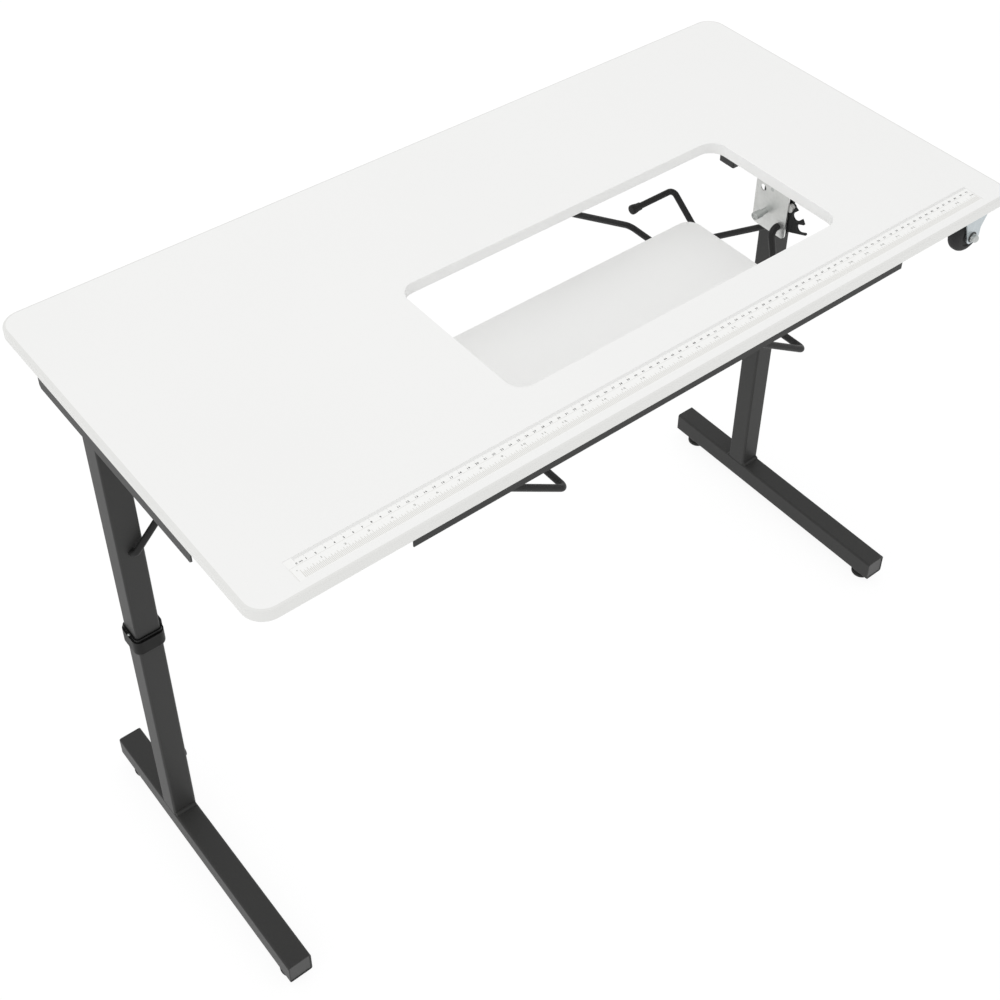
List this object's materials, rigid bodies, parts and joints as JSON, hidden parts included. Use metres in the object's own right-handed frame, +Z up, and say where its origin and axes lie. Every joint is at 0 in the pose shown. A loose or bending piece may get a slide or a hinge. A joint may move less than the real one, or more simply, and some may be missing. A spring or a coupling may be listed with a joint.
{
  "type": "folding sewing and cutting table",
  "caption": "White table with a rounded machine cut-out over a swinging platform, edge ruler, fold-in T-foot legs with braces, release lever and end casters",
  "frame": {"origin": "floor level under the middle of the table top", "axes": "+X along the length towards the cut-out and casters, +Y to the back away from the ruler, +Z up"},
  "size_m": [1.02, 0.504, 0.712],
  "materials": {
    "white_board": "white laminate, satin",
    "pale_edging": "light grey edging, satin",
    "ruler_face": "off-white printed strip",
    "dark_steel": "dark charcoal powder coat, satin",
    "zinc_steel": "bright zinc plating",
    "black_steel": "black coated steel",
    "black_plastic": "black moulded plastic",
    "grey_plastic": "dark grey moulded plastic",
    "black_rubber": "black rubber",
    "wheel_rubber": "black rubber wheel",
    "pale_plastic": "pale grey roller"
  },
  "bodies": {
    "tabletop": {"table_top": "white_board", "top_edge_band": "pale_edging", "cutout_edge_band": "pale_edging", "ruler_strip": "ruler_face", "front_rail": "dark_steel", "rear_rail": "dark_steel", "left_cross_rail": "dark_steel", "right_cross_rail": "dark_steel", "rail_screws": "zinc_steel", "left_hinge_bracket": "dark_steel", "right_hinge_bracket": "dark_steel", "left_hinge_pin": "zinc_steel", "right_hinge_pin": "zinc_steel", "left_brace_keeper": "dark_steel", "right_brace_keeper": "dark_steel", "rear_pivot_brackets": "dark_steel", "selector_bracket": "zinc_steel", "bracket_screws": "zinc_steel", "selector_stud": "zinc_steel", "notched_plate": "black_steel", "pawl_pin": "zinc_steel", "stop_tabs": "black_plastic", "front_caster_fork": "zinc_steel", "rear_caster_fork": "zinc_steel", "front_caster_axle": "zinc_steel", "rear_caster_axle": "zinc_steel", "caster_screws": "zinc_steel"},
    "left_leg": {"left_post": "dark_steel", "left_foot_bar": "dark_steel", "left_foot_plugs": "grey_plastic", "left_foot_pads": "black_rubber", "left_collar": "black_plastic", "left_post_bumper": "black_plastic"},
    "right_leg": {"right_post": "dark_steel", "right_foot_bar": "dark_steel", "right_foot_plugs": "grey_plastic", "right_foot_pads": "black_rubber", "right_collar": "black_plastic", "right_post_bumper": "black_plastic"},
    "left_brace_rod": {"left_brace": "dark_steel", "left_brace_roller": "black_plastic"},
    "right_brace_rod": {"right_brace": "dark_steel", "right_brace_roller": "black_plastic"},
    "right_swing_rod": {"swing_rod_right": "dark_steel"},
    "left_swing_rod": {"swing_rod_left": "dark_steel"},
    "machine_platform": {"platform": "white_board", "platform_edge_band": "pale_edging", "platform_rod_clips": "black_plastic", "clip_screws": "zinc_steel"},
    "release_lever": {"lift_lever": "dark_steel", "lever_grip": "black_rubber"},
    "pawl": {"pawl_arm": "black_steel", "pawl_roller": "pale_plastic"},
    "front_wheel": {"front_caster_wheel": "wheel_rubber"},
    "rear_wheel": {"rear_caster_wheel": "wheel_rubber"}
  },
  "joints": [
    {"name": "left_leg_fold", "type": "hinge", "parent": "tabletop", "child": "left_leg", "pos_m": [-0.488, 0.0756, 0.675], "axis": [0, -1, 0], "range_deg": [0, 74]},
    {"name": "right_leg_fold", "type": "hinge", "parent": "tabletop", "child": "right_leg", "pos_m": [0.488, 0.0756, 0.638], "axis": [0, 1, 0], "range_deg": [0, 60]},
    {"name": "left_brace_fold", "type": "hinge", "parent": "left_leg", "child": "left_brace_rod", "pos_m": [-0.488, 0.0546, 0.51], "axis": [0, -1, 0], "range_deg": [-112, 0]},
    {"name": "right_brace_fold", "type": "hinge", "parent": "right_leg", "child": "right_brace_rod", "pos_m": [0.488, 0.0546, 0.56], "axis": [0, 1, 0], "range_deg": [-88.1, 0]},
    {"name": "right_swing", "type": "hinge", "parent": "tabletop", "child": "right_swing_rod", "pos_m": [0.0798, -0.062, 0.687], "axis": [0, -1, 0], "range_deg": [0, 34.52]},
    {"name": "left_swing", "type": "hinge", "parent": "tabletop", "child": "left_swing_rod", "pos_m": [-0.2712, -0.062, 0.687], "axis": [0, -1, 0], "range_deg": [0, 34.54]},
    {"name": "platform_level", "type": "hinge", "parent": "right_swing_rod", "child": "machine_platform", "pos_m": [0.22677, -0.0645, 0.592], "axis": [0, -1, 0], "range_deg": [-34.54, 0]},
    {"name": "lever_turn", "type": "hinge", "parent": "tabletop", "child": "release_lever", "pos_m": [0.32, -0.069, 0.6397], "axis": [-1, 0, 0], "range_deg": [0, 13], "stiffness_Nm_per_rad": 1, "springref_deg": -11.46},
    {"name": "pawl_swing", "type": "hinge", "parent": "tabletop", "child": "pawl", "pos_m": [0.33, -0.0535, 0.6847], "axis": [-1, 0, 0], "range_deg": [0, 26.1]},
    {"name": "front_wheel_roll", "type": "hinge", "parent": "tabletop", "child": "front_wheel", "pos_m": [0.474, -0.222, 0.651], "axis": [0, 1, 0], "continuous": true},
    {"name": "rear_wheel_roll", "type": "hinge", "parent": "tabletop", "child": "rear_wheel", "pos_m": [0.474, 0.222, 0.651], "axis": [0, 1, 0], "continuous": true}
  ],
  "couplings": [
    {"joint": "left_brace_fold", "follows": "left_leg_fold", "ratio": -1.5129},
    {"joint": "right_brace_fold", "follows": "right_leg_fold", "ratio": -1.4673},
    {"joint": "left_swing", "follows": "right_swing", "ratio": 1},
    {"joint": "platform_level", "follows": "right_swing", "ratio": -1},
    {"joint": "pawl_swing", "follows": "lever_turn", "ratio": 2}
  ]
}
